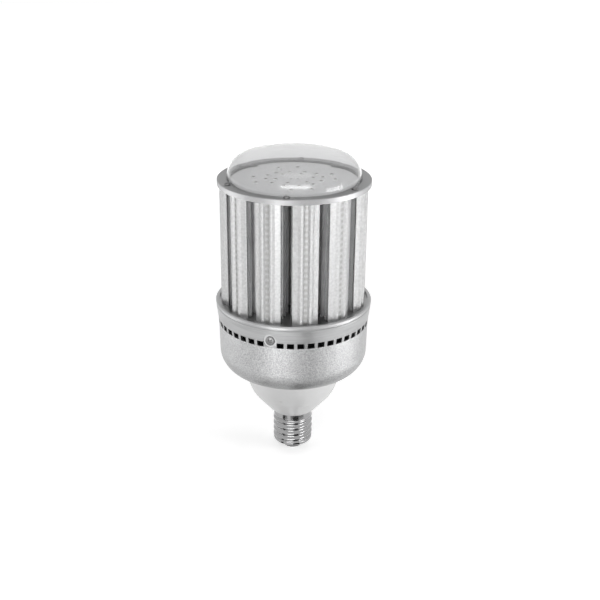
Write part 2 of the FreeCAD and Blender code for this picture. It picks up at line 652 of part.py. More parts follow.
cover_corners = [
    (cover_foot, -cover_half_width), (cover_edge, -cover_half_width),
    (cover_brow, -ridge_foot), (crest, -ridge_outer, ridge_round, 1),
    (crest, -S.ridge_inner), (valley, -valley_half_width), (valley, valley_half_width),
    (crest, S.ridge_inner, ridge_round, 1), (crest, ridge_outer), (cover_brow, ridge_foot),
    (cover_edge, cover_half_width), (cover_foot, cover_half_width),
    (cover_foot, cover_bore), (cover_inside, cover_bore), (cover_inside, -cover_bore),
    (cover_foot, -cover_bore)]
for index in range(int(S.panel_count.value)):
    body = new_body("led_strip_%02d" % (index + 1), panel_turn * index)
    raised(body, "board", outline(body, "board_outline", "XY_Plane", rectangle(
        head_face, -strip_half_width, strip_face, strip_half_width), deck), panel_height)
    body = new_body("strip_cover_%02d" % (index + 1), panel_turn * index)
    raised(body, "profile", outline(body, "profile_outline", "XY_Plane", cover_corners, deck),
           panel_height)

body = new_body("strip_emitters")
chip = raised(body, "chip", outline(body, "chip_outline", "XY_Plane", rectangle(
    strip_face, -S.emitter_width / 2, strip_face + S.emitter_height, S.emitter_width / 2),
    emitter_first), S.emitter_length)
column = body.newObject("PartDesign::MultiTransform", "strip_emitters_all")
column.Originals = [chip]
rows = body.newObject("PartDesign::LinearPattern", "strip_emitters_rows")
rows.Direction = (origin_feature(body, "Z_Axis"), [""])
around = body.newObject("PartDesign::PolarPattern", "strip_emitters_around")
around.Axis = (origin_feature(body, "Z_Axis"), [""])
around.Angle = 360
column.Transformations = [rows, around]
body.Tip = column
rows.setExpression("Length", emitter_run.text)
rows.setExpression("Occurrences", S.emitter_count.text)
around.setExpression("Occurrences", S.panel_count.text)

# Top: plate, light board with its emitters, clear dome and the clamp ring

screw_x = ring_screw_circle * S.port_turn.cos()
screw_y = ring_screw_circle * S.port_turn.sin()
body = new_body("top_plate")
raised(body, "disc", discs(body, "disc_circles", "XY_Plane", sink_top, [
    (0, 0, plate_radius), (0, 0, S.plate_hole_radius)]), S.plate_thickness)
ring_hole = sunk(body, "ring_hole", discs(body, "ring_hole_circle", "XY_Plane", plate_top, [
    (screw_x, screw_y, S.ring_shank_radius)]), S.plate_thickness)
repeated(body, "ring_holes", [ring_hole], S.ring_screw_count)
sink_hole = sunk(body, "sink_hole", discs(body, "sink_hole_circle", "XY_Plane", plate_top, [
    (port_x, port_y, S.port_radius)]), S.plate_thickness)
repeated(body, "sink_holes", [sink_hole], S.port_count)
head_seat = sunk(body, "head_seat", discs(body, "head_seat_circle", "XY_Plane", plate_top, [
    (port_x, port_y, S.port_head_radius)]), S.port_head_height)
repeated(body, "head_seats", [head_seat], S.port_count)

body = new_body("plate_screws", S.port_turn)
head = raised(body, "head", discs(body, "head_circle", "XY_Plane", plate_top - S.port_head_height, [
    (port_circle, 0, S.port_head_radius)]), S.port_head_height)
shank = raised(body, "shank", discs(
    body, "shank_circle", "XY_Plane", sink_top - S.port_depth + S.clearance_fit, [
        (port_circle, 0, S.port_radius)]),
    S.port_depth + S.plate_thickness - S.port_head_height - S.clearance_fit)
repeated(body, "all", [head, shank], S.port_count)

body = new_body("top_board")
raised(body, "disc", discs(body, "disc_circles", "XY_Plane", plate_top, [
    (0, 0, light_board_radius), (S.output_offset, 0, S.wire_radius),
    (-S.output_offset, 0, S.wire_radius)]), S.light_board_thickness)

body = new_body("top_emitters")
chip_half = S.light_size / 2
inner = raised(body, "inner", outline(body, "inner_outline", "XY_Plane", rectangle(
    S.light_inner - chip_half, -chip_half, S.light_inner + chip_half, chip_half), light_top),
    S.light_height)
repeated(body, "inner_ring", [inner], S.light_inner_count)
middle = raised(body, "middle", outline(body, "middle_outline", "XY_Plane", rectangle(
    S.light_mid - chip_half, -chip_half, S.light_mid + chip_half, chip_half), light_top),
    S.light_height)
repeated(body, "middle_ring", [middle], S.panel_count)
outer_x = S.light_outer * S.light_outer_turn.cos()
outer_y = S.light_outer * S.light_outer_turn.sin()
pair_one = raised(body, "outer_one", outline(body, "outer_one_outline", "XY_Plane", rectangle(
    outer_x - chip_half, outer_y - chip_half, outer_x + chip_half, outer_y + chip_half),
    light_top), S.light_height)
repeated(body, "outer_one_ring", [pair_one], S.light_outer_count)
pair_two = raised(body, "outer_two", outline(body, "outer_two_outline", "XY_Plane", rectangle(
    outer_x - chip_half, -outer_y - chip_half, outer_x + chip_half, -outer_y + chip_half),
    light_top), S.light_height)
repeated(body, "outer_two_ring", [pair_two], S.light_outer_count)

body = new_body("top_dome")
rise = dome_crown - dome_spring
middle_radius = dome_radius - S.dome_shoulder
crown_radius = ((middle_radius * middle_radius + rise * rise - S.dome_shoulder * S.dome_shoulder)
                / ((rise - S.dome_shoulder) * 2))
reach = crown_radius - S.dome_shoulder
lift = crown_radius - rise
inner_shoulder = S.dome_shoulder - S.dome_wall
turned(body, "dome", [
    (dome_bore, plate_top), (dome_flange_radius, plate_top), (dome_flange_radius, flange_top),
    (dome_radius, flange_top), (dome_radius, dome_spring, S.dome_shoulder, 1),
    (middle_radius + middle_radius * S.dome_shoulder / reach,
     dome_spring + lift * S.dome_shoulder / reach, crown_radius, 1),
    (0, dome_crown), (0, dome_crown - S.dome_wall, crown_radius - S.dome_wall, -1),
    (middle_radius + middle_radius * inner_shoulder / reach,
     dome_spring + lift * inner_shoulder / reach, inner_shoulder, -1),
    (dome_bore, dome_spring)])
flange_hole = sunk(body, "flange_hole", discs(body, "flange_hole_circle", "XY_Plane", flange_top, [
    (screw_x, screw_y, S.ring_shank_radius)]), S.dome_flange)
repeated(body, "flange_holes", [flange_hole], S.ring_screw_count)

body = new_body("top_ring")
turned(body, "ring", [
    (dome_radius + S.clearance_fit, flange_top), (ring_bore, flange_top),
    (ring_bore, ring_skirt), (ring_radius, ring_skirt),
    (ring_radius, ring_top - S.ring_bevel), (ring_radius - S.ring_bevel, ring_top),
    (dome_radius + S.clearance_fit, ring_top)])
ring_hole = sunk(body, "screw_hole", discs(body, "screw_hole_circle", "XY_Plane", ring_top, [
    (screw_x, screw_y, S.ring_shank_radius)]), S.ring_web)
repeated(body, "screw_holes", [ring_hole], S.ring_screw_count)

body = new_body("ring_screws", S.port_turn)
head = raised(body, "head", discs(body, "head_circle", "XY_Plane", ring_top, [
    (ring_screw_circle, 0, S.ring_head_radius)]), S.ring_head_height)
shank = raised(body, "shank", discs(
    body, "shank_circle", "XY_Plane", sink_top + S.ring_screw_rise, [
        (ring_screw_circle, 0, S.ring_shank_radius)]), ring_top - sink_top - S.ring_screw_rise)
repeated(body, "all", [head, shank], S.ring_screw_count)

doc.recompute()
for item in doc.Objects:
    if "Invalid" in item.State or "Error" in item.State:
        raise RuntimeError("%s did not compute: %s" % (item.Name, item.State))
os.makedirs("parts", exist_ok=True)
for piece in pieces:
    shape = piece.Shape
    if shape.isNull() or not shape.isValid() or not shape.Solids:
        raise RuntimeError("%s has no valid solid" % piece.Label)
    shape.exportStep("parts/%s.step" % piece.Label)
    print("%s: %d solids, %.1f mm3" % (piece.Label, len(shape.Solids), shape.Volume))
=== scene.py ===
"""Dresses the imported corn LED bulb: thread, covers, emitters, dome, screws, finishes and studio."""
import json
import math
from collections import namedtuple

import bpy
import numpy as np
from bpy.props import FloatProperty, FloatVectorProperty, IntProperty, PointerProperty
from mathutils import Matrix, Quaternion, Vector

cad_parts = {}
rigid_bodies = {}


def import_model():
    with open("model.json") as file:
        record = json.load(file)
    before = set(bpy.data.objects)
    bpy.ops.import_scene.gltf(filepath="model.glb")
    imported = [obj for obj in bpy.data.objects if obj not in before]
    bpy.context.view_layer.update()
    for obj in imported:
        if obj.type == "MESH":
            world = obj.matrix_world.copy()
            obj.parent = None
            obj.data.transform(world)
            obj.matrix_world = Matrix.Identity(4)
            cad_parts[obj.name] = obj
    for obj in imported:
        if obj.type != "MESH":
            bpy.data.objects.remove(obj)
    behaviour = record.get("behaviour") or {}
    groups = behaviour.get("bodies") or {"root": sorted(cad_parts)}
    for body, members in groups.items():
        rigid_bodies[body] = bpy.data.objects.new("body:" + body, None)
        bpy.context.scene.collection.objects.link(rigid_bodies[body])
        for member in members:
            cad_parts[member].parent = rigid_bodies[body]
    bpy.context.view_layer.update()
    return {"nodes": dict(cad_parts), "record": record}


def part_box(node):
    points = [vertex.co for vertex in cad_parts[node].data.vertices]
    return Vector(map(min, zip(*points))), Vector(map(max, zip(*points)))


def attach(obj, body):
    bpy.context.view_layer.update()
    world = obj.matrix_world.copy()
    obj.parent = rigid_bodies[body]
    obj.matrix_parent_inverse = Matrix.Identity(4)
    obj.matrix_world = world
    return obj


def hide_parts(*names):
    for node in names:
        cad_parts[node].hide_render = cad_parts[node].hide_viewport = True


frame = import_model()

bl_info = {
    "name": "Corn LED bulb dressing",
    "version": (1, 0, 0),
    "blender": (4, 5, 0),
    "location": "3D View > Sidebar > Bulb",
    "description": "Adds the thread, covers, emitters, dome, screws, finishes and studio of a corn LED bulb",
    "category": "Object",
}

MM = 0.001
ROOT = "root"
# Width, length and height of an emitter on a strip and of one on the top board
STRIP_CHIP = (3.6 * MM, 3.0 * MM, 1.0 * MM)
BOARD_CHIP = (3.6 * MM, 3.6 * MM, 1.0 * MM)
# An emitter's rings of corners from its foot to its window: shares of its width and of its height
CHIP_RINGS = ((1.0, 0.0), (1.0, 0.8), (0.94, 1.0), (0.80, 1.0), (0.72, 0.86), (0.60, 0.86))
# The bands between its first rings that make up its frame
FRAME_BANDS = 3


class BulbShape(bpy.types.PropertyGroup):
    """Sizes of the pieces that are made here, in metres unless said."""

    thread_pitch: FloatProperty(
        name="Thread pitch", description="Rise of the screw thread in one turn",
        default=6.35 * MM, unit="LENGTH")
    thread_crest: FloatProperty(
        name="Thread crest", description="Outer radius of the thread",
        default=19.7 * MM, unit="LENGTH")
    thread_root: FloatProperty(
        name="Thread root", description="Inner radius of the thread's outside",
        default=17.75 * MM, unit="LENGTH")
    thread_low: FloatProperty(
        name="Thread start", description="Height where the thread begins",
        default=13.2 * MM, unit="LENGTH")
    thread_high: FloatProperty(
        name="Thread end", description="Height where the thread ends below the plain collar",
        default=40.0 * MM, unit="LENGTH")
    panel_count: IntProperty(
        name="Panels", description="Number of strips round the heat sink", default=12)
    emitter_count: IntProperty(
        name="Emitters", description="Number of emitters on each strip", default=20)
    emitter_pitch: FloatProperty(
        name="Emitter pitch", description="Distance between emitters on a strip",
        default=5.5 * MM, unit="LENGTH")
    cross_width: FloatProperty(
        name="Cross width", description="Width of the screws' cross recess",
        default=0.8 * MM, unit="LENGTH")
    cross_depth: FloatProperty(
        name="Cross depth", description="Depth of the screws' cross recess",
        default=0.9 * MM, unit="LENGTH")


class BulbLook(bpy.types.PropertyGroup):
    """Finishes of the bulb's materials."""

    metal_tint: FloatVectorProperty(
        name="Metal tint", description="Colour of the blasted and turned metal",
        subtype="COLOR", size=3, min=0.0, max=1.0, default=(0.445, 0.447, 0.45))
    sink_tint: FloatVectorProperty(
        name="Heat sink tint", description="Colour of the extruded heat sink",
        subtype="COLOR", size=3, min=0.0, max=1.0, default=(0.95, 0.95, 0.952))
    plastic_tint: FloatVectorProperty(
        name="Neck tint", description="Colour of the moulded neck",
        subtype="COLOR", size=3, min=0.0, max=1.0, default=(0.50, 0.50, 0.50))
    cover_tint: FloatVectorProperty(
        name="Cover tint", description="Colour of the pebbled strip covers",
        subtype="COLOR", size=3, min=0.0, max=1.0, default=(0.78, 0.782, 0.784))
    cover_clearness: FloatProperty(
        name="Cover clearness", description="Share of light that passes the covers unscattered",
        default=0.12, min=0.0, max=1.0)
    cover_shine: FloatProperty(
        name="Cover shine", description="Share of the covers' pearly reflection",
        default=0.35, min=0.0, max=1.0)
    board_tint: FloatVectorProperty(
        name="Board tint", description="Colour of the boards' mask",
        subtype="COLOR", size=3, min=0.0, max=1.0, default=(0.94, 0.94, 0.94))
    gate_mark: FloatVectorProperty(
        name="Gate mark", description="Place of the moulding mark on the neck",
        size=3, subtype="XYZ", default=(-0.0180, -0.0385, 0.0726))


class BulbStage(bpy.types.PropertyGroup):
    """Camera and light."""

    azimuth: FloatProperty(
        name="Azimuth", description="Camera's angle round the bulb, 0 looking along +Y",
        default=math.radians(-9.3), subtype="ANGLE")
    elevation: FloatProperty(
        name="Elevation", description="Camera's angle above the horizon",
        default=math.radians(24.0), subtype="ANGLE")
    roll: FloatProperty(
        name="Roll", description="Camera's turn about its own view, anticlockwise",
        default=math.radians(0.4), subtype="ANGLE")
    distance: FloatProperty(
        name="Distance", description="Camera's distance from the aim point",
        default=0.970, unit="LENGTH")
    aim_height: FloatProperty(
        name="Aim height", description="Height of the aim point on the axis",
        default=0.1426, unit="LENGTH")
    surround: FloatProperty(
        name="Surround", description="Strength of the surround as light on the bulb", default=0.28)
    floor_near: FloatProperty(
        name="Floor near", description="Brightness added to the floor beside the bulb", default=0.56)
    floor_far: FloatProperty(
        name="Floor far", description="Brightness added to the floor far from the bulb", default=1.0)
    lens: FloatProperty(name="Lens", description="Focal length in millimetres", default=59.4)
    shift: FloatVectorProperty(
        name="Shift", description="Camera shift that gives the photograph's framing",
        size=2, default=(0.0110, 0.0318))


def mesh_object(name, points, faces, smooth_angle=30.0):
    """A mesh at the origin from an (n, 3) array and faces, smooth but for edges sharper than the angle."""
    mesh = bpy.data.meshes.new(name)
    mesh.from_pydata([tuple(point) for point in points], [], [tuple(face) for face in faces])
    mesh.validate()
    mesh.shade_smooth()
    mesh.set_sharp_from_angle(angle=math.radians(smooth_angle))
    item = bpy.data.objects.new(name, mesh)
    bpy.context.scene.collection.objects.link(item)
    return item


def grid_faces(rows, columns, close_rows=True, close_columns=True):
    """Quads of a (rows, columns) grid; each quad is (i, j), (i, j+1), (i+1, j+1), (i+1, j)."""
    row = np.arange(rows if close_rows else rows - 1)
    column = np.arange(columns if close_columns else columns - 1)
    i, j = np.meshgrid(row, column, indexing="ij")
    below = (i + 1) % rows
    beside = (j + 1) % columns
    quads = np.stack([i * columns + j, i * columns + beside,
                      below * columns + beside, below * columns + j], axis=-1)
    return quads.reshape(-1, 4)


def lathe(profile, segments):
    """Points (r cos a, r sin a, z) and quads of a closed profile turned about Z.
    A profile that runs anticlockwise in (r, z) gives outward faces."""
    profile = np.asarray(profile, dtype=float)
    angle = np.linspace(0.0, 2.0 * math.pi, segments, endpoint=False)
    radius = profile[:, 0][:, None]
    points = np.stack([radius * np.cos(angle), radius * np.sin(angle),
                       np.broadcast_to(profile[:, 1][:, None], (len(profile), segments))], axis=-1)
    return points.reshape(-1, 3), grid_faces(len(profile), segments)


def arc(centre, radius, start, end, count):
    """Points centre + radius (cos t, sin t) for t from start to end in degrees."""
    t = np.radians(np.linspace(start, end, count))
    return [(centre[0] + radius * math.cos(a), centre[1] + radius * math.sin(a)) for a in t]


def turned_points(points, angle):
    """Points turned about Z: x' = x cos a - y sin a, y' = x sin a + y cos a."""
    cos, sin = math.cos(angle), math.sin(angle)
    points = np.asarray(points, dtype=float)
    return np.stack([points[:, 0] * cos - points[:, 1] * sin,
                     points[:, 0] * sin + points[:, 1] * cos, points[:, 2]], axis=-1)


def joined(parts):
    """One array of points and one list of faces from several (points, faces)."""
    points = []
    faces = []
    offset = 0
    for spots, quads in parts:
        points.append(np.asarray(spots, dtype=float))
        faces.extend([tuple(int(k) + offset for k in quad) for quad in quads])
        offset += len(spots)
    return np.concatenate(points), faces


def seat(item, slot, material, *nodes):
    """Puts a new piece on the bulb's body in place of CAD nodes."""
    item.data.materials.append(material)
    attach(item, ROOT)
    if nodes:
        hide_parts(*nodes)


def node_material(name):
    """A new node material with its Principled shader: (material, nodes, links, shader)."""
    material = bpy.data.materials.new(name)
    material.use_nodes = True
    nodes = material.node_tree.nodes
    return material, nodes, material.node_tree.links, nodes["Principled BSDF"]


def new_group(name, inputs, outputs):
    """A shader node group with float inputs and named outputs (name, socket type)."""
    group = bpy.data.node_groups.new(name, "ShaderNodeTree")
    for label, default in inputs:
        socket = group.interface.new_socket(label, in_out="INPUT", socket_type="NodeSocketFloat")
        socket.default_value = default
    for label, kind in outputs:
        group.interface.new_socket(label, in_out="OUTPUT", socket_type=kind)
    entry = group.nodes.new("NodeGroupInput")
    leave = group.nodes.new("NodeGroupOutput")
    return group, entry, leave


def stretched(group, value):
    """A noise value spread over its full range: 0 at 0.3 and 1 at 0.7."""
    spread = group.nodes.new("ShaderNodeMapRange")
    spread.inputs["From Min"].default_value = 0.3
    spread.inputs["From Max"].default_value = 0.7
    group.links.new(value, spread.inputs["Value"])
    return spread.outputs["Result"]


def grain_group():
    """Fine blasted grain: a noise value for colour and a bumped normal.
    Value = noise(P * Scale) stretched from 0.3 to 0.7, Normal = bump(noise) at Strength."""
    relief = 0.4 * MM
    group, entry, leave = new_group(
        "Blasted grain", [("Scale", 900.0), ("Strength", 0.12)],
        [("Value", "NodeSocketFloat"), ("Normal", "NodeSocketVector")])
    place = group.nodes.new("ShaderNodeTexCoord")
    noise = group.nodes.new("ShaderNodeTexNoise")
    noise.inputs["Detail"].default_value = 3.0
    bump = group.nodes.new("ShaderNodeBump")
    bump.inputs["Distance"].default_value = relief
    group.links.new(place.outputs["Object"], noise.inputs["Vector"])
    group.links.new(entry.outputs["Scale"], noise.inputs["Scale"])
    group.links.new(noise.outputs["Fac"], bump.inputs["Height"])
    group.links.new(entry.outputs["Strength"], bump.inputs["Strength"])
    group.links.new(stretched(group, noise.outputs["Fac"]), leave.inputs["Value"])
    group.links.new(bump.outputs["Normal"], leave.inputs["Normal"])
    return group


def turned_lines_group():
    """Fine rings left by turning: bands by height that wander a little round the bulb.
    Value = noise((drift x, drift y, z) * Scale) stretched from 0.3 to 0.7,
    Normal = bump(noise) at Strength."""
    drift = 0.02
    relief = 0.3 * MM
    group, entry, leave = new_group(
        "Turned lines", [("Scale", 1600.0), ("Strength", 0.2)],
        [("Value", "NodeSocketFloat"), ("Normal", "NodeSocketVector")])
    place = group.nodes.new("ShaderNodeTexCoord")
    flat = group.nodes.new("ShaderNodeVectorMath")
    flat.operation = "MULTIPLY"
    flat.inputs[1].default_value = (drift, drift, 1.0)
    noise = group.nodes.new("ShaderNodeTexNoise")
    noise.inputs["Detail"].default_value = 2.0
    bump = group.nodes.new("ShaderNodeBump")
    bump.inputs["Distance"].default_value = relief
    group.links.new(place.outputs["Object"], flat.inputs[0])
    group.links.new(flat.outputs["Vector"], noise.inputs["Vector"])
    group.links.new(entry.outputs["Scale"], noise.inputs["Scale"])
    group.links.new(noise.outputs["Fac"], bump.inputs["Height"])
    group.links.new(entry.outputs["Strength"], bump.inputs["Strength"])
    group.links.new(stretched(group, noise.outputs["Fac"]), leave.inputs["Value"])
    group.links.new(bump.outputs["Normal"], leave.inputs["Normal"])
    return group


def textured(name, group, tint, spread, rough, metallic, scale, strength):
    """A material whose colour and roughness follow a group's Value and whose normal is the group's.
    Colour runs from tint (1 - spread) to tint, roughness from rough[0] to rough[1]."""
    material, nodes, links, shader = node_material(name)
    detail = nodes.new("ShaderNodeGroup")
    detail.node_tree = group
    detail.inputs["Scale"].default_value = scale
    detail.inputs["Strength"].default_value = strength
    colour = nodes.new("ShaderNodeMix")
    colour.data_type = "RGBA"
    colour.inputs["A"].default_value = [c * (1.0 - spread) for c in tint] + [1.0]
    colour.inputs["B"].default_value = list(tint) + [1.0]
    polish = nodes.new("ShaderNodeMapRange")
    polish.inputs["To Min"].default_value = rough[0]
    polish.inputs["To Max"].default_value = rough[1]
    links.new(detail.outputs["Value"], colour.inputs["Factor"])
    links.new(colour.outputs["Result"], shader.inputs["Base Color"])
    links.new(detail.outputs["Value"], polish.inputs["Value"])
    links.new(polish.outputs["Result"], shader.inputs["Roughness"])
    links.new(detail.outputs["Normal"], shader.inputs["Normal"])
    shader.inputs["Metallic"].default_value = metallic
    return material


def shader_inputs(material):
    """The inputs of a material's Principled shader."""
    return material.node_tree.nodes["Principled BSDF"].inputs


def clear_plastic(name, group, tint, spread, rough, shine, clearness, index, scale, strength):
    """Clear or pebbled moulded plastic: part of the light passes, with a flow texture in its gloss."""
    material = textured(name, group, tint, spread, rough, shine, scale, strength)
    inputs = shader_inputs(material)
    inputs["Transmission Weight"].default_value = clearness
    inputs["IOR"].default_value = index
    return material


def add_gate_mark(material, spot):
    """Darkens a moulded material round one point: the shade's share falls from mark_share
    inside mark_core to nothing at mark_edge."""
    mark_core = 0.6 * MM
    mark_edge = 2.2 * MM
    mark_share = 0.22
    nodes, links = material.node_tree.nodes, material.node_tree.links
    base = shader_inputs(material)["Base Color"]
    plain = base.links[0].from_socket
    place = nodes.new("ShaderNodeTexCoord")
    far = nodes.new("ShaderNodeVectorMath")
    far.operation = "DISTANCE"
    far.inputs[1].default_value = spot
    mask = nodes.new("ShaderNodeMapRange")
    mask.inputs["From Min"].default_value = mark_core
    mask.inputs["From Max"].default_value = mark_edge
    mask.inputs["To Min"].default_value = mark_share
    mask.inputs["To Max"].default_value = 0.0
    shade = nodes.new("ShaderNodeMix")
    shade.data_type = "RGBA"
    shade.inputs["B"].default_value = (0.25, 0.25, 0.25, 1.0)
    links.new(place.outputs["Object"], far.inputs[0])
    links.new(far.outputs["Value"], mask.inputs["Value"])
    links.new(mask.outputs["Result"], shade.inputs["Factor"])
    links.new(plain, shade.inputs["A"])
    links.new(shade.outputs["Result"], base)


def add_painted_emitter_shade(material, first, pitch):
    """Painted shade: darkens the covers' valley where an emitter lies behind it, standing in for the
    emitters seen through the cover:
    factor = 0.5 - 0.5 cos(2 pi (z - first) / pitch) runs from the shade to the plain colour.
    The wave texture multiplies its place by wave_rate."""
    wave_rate = 20.0
    nodes, links = material.node_tree.nodes, material.node_tree.links
    base = shader_inputs(material)["Base Color"]
    plain = base.links[0].from_socket
    place = nodes.new("ShaderNodeTexCoord")
    wave = nodes.new("ShaderNodeTexWave")
    wave.bands_direction = "Z"
    wave.inputs["Scale"].default_value = 2.0 * math.pi / (wave_rate * pitch)
    wave.inputs["Phase Offset"].default_value = -2.0 * math.pi * first / pitch
    shade = nodes.new("ShaderNodeMix")
    shade.data_type = "RGBA"
    # The painted shade of an emitter seen through the valley
    shade.inputs["A"].default_value = (0.54, 0.54, 0.53, 1.0)
    links.new(place.outputs["Object"], wave.inputs["Vector"])
    links.new(wave.outputs["Fac"], shade.inputs["Factor"])
    links.new(plain, shade.inputs["B"])
    links.new(shade.outputs["Result"], base)


def first_emitter():
    """Height of the middle of each strip's lowest emitter."""
    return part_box("strip_emitters")[0][2] + STRIP_CHIP[1] / 2


def body_finishes(look, grain, lines):
    """The finishes of the base, neck, cup, collar, heat sink, ring and screws, by record slot."""
    metal = tuple(look.metal_tint)
    collar_share = 0.88
    return {
        "contact_metal": textured(
            "Tinned contact", grain, tint=(0.6, 0.6, 0.59), spread=0.3, rough=(0.25, 0.45),
            metallic=1.0, scale=500.0, strength=0.2),
        "base_glass": textured(
            "Black vitreous", grain, tint=(0.012, 0.012, 0.013), spread=0.4, rough=(0.05, 0.14),
            metallic=0.0, scale=200.0, strength=0.03),
        "plated_shell": textured(
            "Plated shell", lines, tint=(0.36, 0.36, 0.363), spread=0.15, rough=(0.09, 0.18),
            metallic=1.0, scale=900.0, strength=0.05),
        "neck_plastic": textured(
            "Neck plastic", grain, tint=tuple(look.plastic_tint), spread=0.03, rough=(0.30, 0.40),
            metallic=0.0, scale=700.0, strength=0.02),
        "cup_metal": textured(
            "Blasted cup", grain, tint=metal, spread=0.40, rough=(0.34, 0.48),
            metallic=1.0, scale=850.0, strength=0.6),
        "collar_metal": textured(
            "Turned collar", lines, tint=tuple(collar_share * c for c in metal), spread=0.20,
            rough=(0.28, 0.44), metallic=1.0, scale=1500.0, strength=0.3),
        "sink_aluminium": textured(
            "Extruded sink", lines, tint=tuple(look.sink_tint), spread=0.2, rough=(0.40, 0.55),
            metallic=0.1, scale=60.0, strength=0.1),
        "ring_metal": textured(
            "Satin ring", grain, tint=(0.34, 0.34, 0.344), spread=0.15, rough=(0.40, 0.54),
            metallic=0.5, scale=1100.0, strength=0.12),
        # Partly painted shade: the screws are darker than plain zinc, standing in for the shade of the
        # dimples that the collar screws sit in; the ring screws share this tint
        "screw_steel": textured(
            "Zinc screw", grain, tint=(0.20, 0.20, 0.20), spread=0.25, rough=(0.32, 0.50),
            metallic=1.0, scale=1400.0, strength=0.15),
    }


def light_finishes(look, grain):
    """The finishes of the boards, emitters, covers and dome, by record slot, and those of the
    covers' legs and valleys."""
    cover = tuple(look.cover_tint)
    plastic_index = 1.49
    # The dome is a thin wall that hardly bends what is seen through it
    thin_index = 1.08
    made = {
        "light_board": textured(
            "White mask", grain, tint=tuple(look.board_tint), spread=0.06, rough=(0.35, 0.5),
            metallic=0.0, scale=800.0, strength=0.05),
        "emitter_face": textured(
            "Phosphor", grain, tint=(0.26, 0.25, 0.20), spread=0.25, rough=(0.3, 0.5),
            metallic=0.0, scale=1500.0, strength=0.05),
        "cover_clear": clear_plastic(
            "Pebbled cover", grain, tint=cover, spread=0.20, rough=(0.34, 0.46),
            shine=look.cover_shine, clearness=look.cover_clearness, index=plastic_index,
            scale=420.0, strength=0.3),
        "cover_valley": clear_plastic(
            "Lens valley", grain, tint=cover, spread=0.25, rough=(0.30, 0.42),
            shine=0.2, clearness=look.cover_clearness, index=plastic_index,
            scale=650.0, strength=0.3),
        "cover_leg": clear_plastic(
            "Clear leg", grain, tint=(0.80, 0.803, 0.806), spread=0.10, rough=(0.10, 0.20),
            shine=0.0, clearness=1.0, index=plastic_index, scale=650.0, strength=0.05),
        "dome_clear": clear_plastic(
            "Clear dome", grain, tint=(0.74, 0.742, 0.746), spread=0.02, rough=(0.02, 0.035),
            shine=0.0, clearness=0.94, index=thin_index, scale=160.0, strength=0.01),
    }
    for name in ("cover_clear", "cover_valley"):
        shader_inputs(made[name])["Specular IOR Level"].default_value = 0.2
    gloss = shader_inputs(made["dome_clear"])
    gloss["Coat Weight"].default_value = 1.0
    gloss["Coat Roughness"].default_value = 0.2
    gloss["Coat IOR"].default_value = 1.45
    return made


def driver_finishes(grain, lines):
    """The finishes of the driver's board, components and leads, by record slot."""
    return {
        "circuit_board": textured(
            "Board mask", grain, tint=(0.05, 0.16, 0.08), spread=0.3, rough=(0.3, 0.5),
            metallic=0.0, scale=600.0, strength=0.05),
        "ferrite": textured(
            "Ferrite", grain, tint=(0.05, 0.05, 0.05), spread=0.4, rough=(0.5, 0.7),
            metallic=0.0, scale=1500.0, strength=0.2),
        "coil_tape": textured(
            "Coil tape", lines, tint=(0.62, 0.46, 0.10), spread=0.2, rough=(0.3, 0.5),
            metallic=0.0, scale=700.0, strength=0.1),
        "capacitor_sleeve": textured(
            "Shrink sleeve", grain, tint=(0.03, 0.03, 0.035), spread=0.3, rough=(0.2, 0.35),
            metallic=0.0, scale=300.0, strength=0.05),
        "moulded_black": textured(
            "Moulded black", grain, tint=(0.02, 0.02, 0.02), spread=0.4, rough=(0.45, 0.65),
            metallic=0.0, scale=900.0, strength=0.1),
        "lead_red": textured(
            "Dark lead", grain, tint=(0.05, 0.05, 0.05), spread=0.2, rough=(0.35, 0.5),
            metallic=0.0, scale=400.0, strength=0.05),
        "lead_blue": textured(
            "Pale lead", grain, tint=(0.55, 0.57, 0.60), spread=0.2, rough=(0.35, 0.5),
            metallic=0.0, scale=400.0, strength=0.05),
    }


def make_materials():
    """Every finish of the bulb: one for each record slot, and two more for the covers."""
    look = bpy.context.scene.bulb_look
    grain = grain_group()
    lines = turned_lines_group()
    made = {**body_finishes(look, grain, lines), **light_finishes(look, grain),
            **driver_finishes(grain, lines)}
    # The covers' valleys get painted shade where the emitters lie behind them
    add_painted_emitter_shade(made["cover_valley"], first_emitter(), bpy.context.scene.bulb_shape.emitter_pitch)
    add_gate_mark(made["neck_plastic"], look.gate_mark)
    return made


class BULB_OT_finishes(bpy.types.Operator):
    """Give every CAD node the finish of its record slot"""

    bl_idname = "bulb.finishes"
    bl_label = "Finishes"

    def execute(self, context):
        made = make_materials()
        slots = {part["node"]: part["material_slot"] for part in frame["record"]["subparts"]}
        for node, item in frame["nodes"].items():
            item.data.materials.clear()
            item.data.materials.append(made[slots[node]])
        for finish, material in made.items():
            material["bulb_finish"] = finish
        return {"FINISHED"}


def finish_of(finish):
    """The material that was made for a record slot, or for the covers' legs or valleys."""
    return next(m for m in bpy.data.materials if m.get("bulb_finish") == finish)


